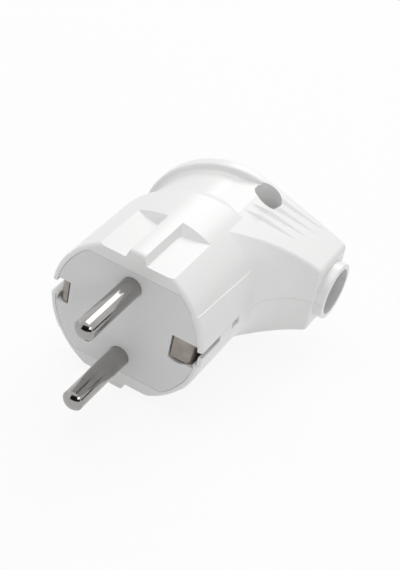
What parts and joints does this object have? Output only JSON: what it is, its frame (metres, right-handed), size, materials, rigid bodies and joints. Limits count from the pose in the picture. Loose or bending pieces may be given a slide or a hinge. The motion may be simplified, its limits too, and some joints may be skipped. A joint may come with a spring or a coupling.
{
  "type": "grounded plug",
  "caption": "Round grounded plug with a side cable neck, domed contact pins, side earth contacts and a split housing held by a screw.",
  "frame": {"origin": "middle of the plug's face, half way between the pins", "axes": "+X out through the cable inlet, +Y from the face to the back, +Z along the pin line"},
  "size_m": [0.0493, 0.0664, 0.037],
  "materials": {
    "housing_white": "satin",
    "carrier_white": "satin",
    "pin_nickel": "polished",
    "earth_nickel": "plated sheet",
    "screw_steel": "zinc plated",
    "clamp_plastic": "satin"
  },
  "bodies": {
    "root": {"upper_shell": "housing_white", "lower_shell": "housing_white", "pin_carrier": "carrier_white", "line_pin": "pin_nickel", "neutral_pin": "pin_nickel", "earth_strip": "earth_nickel", "line_terminal_screw": "screw_steel", "neutral_terminal_screw": "screw_steel", "earth_nut_plate": "screw_steel", "earth_clamp_washer": "screw_steel", "earth_terminal_screw": "screw_steel", "housing_screw": "screw_steel", "housing_nut": "screw_steel", "front_clamp_screw": "screw_steel", "back_clamp_screw": "screw_steel", "cable_clamp_bar": "clamp_plastic"}
  },
  "joints": []
}
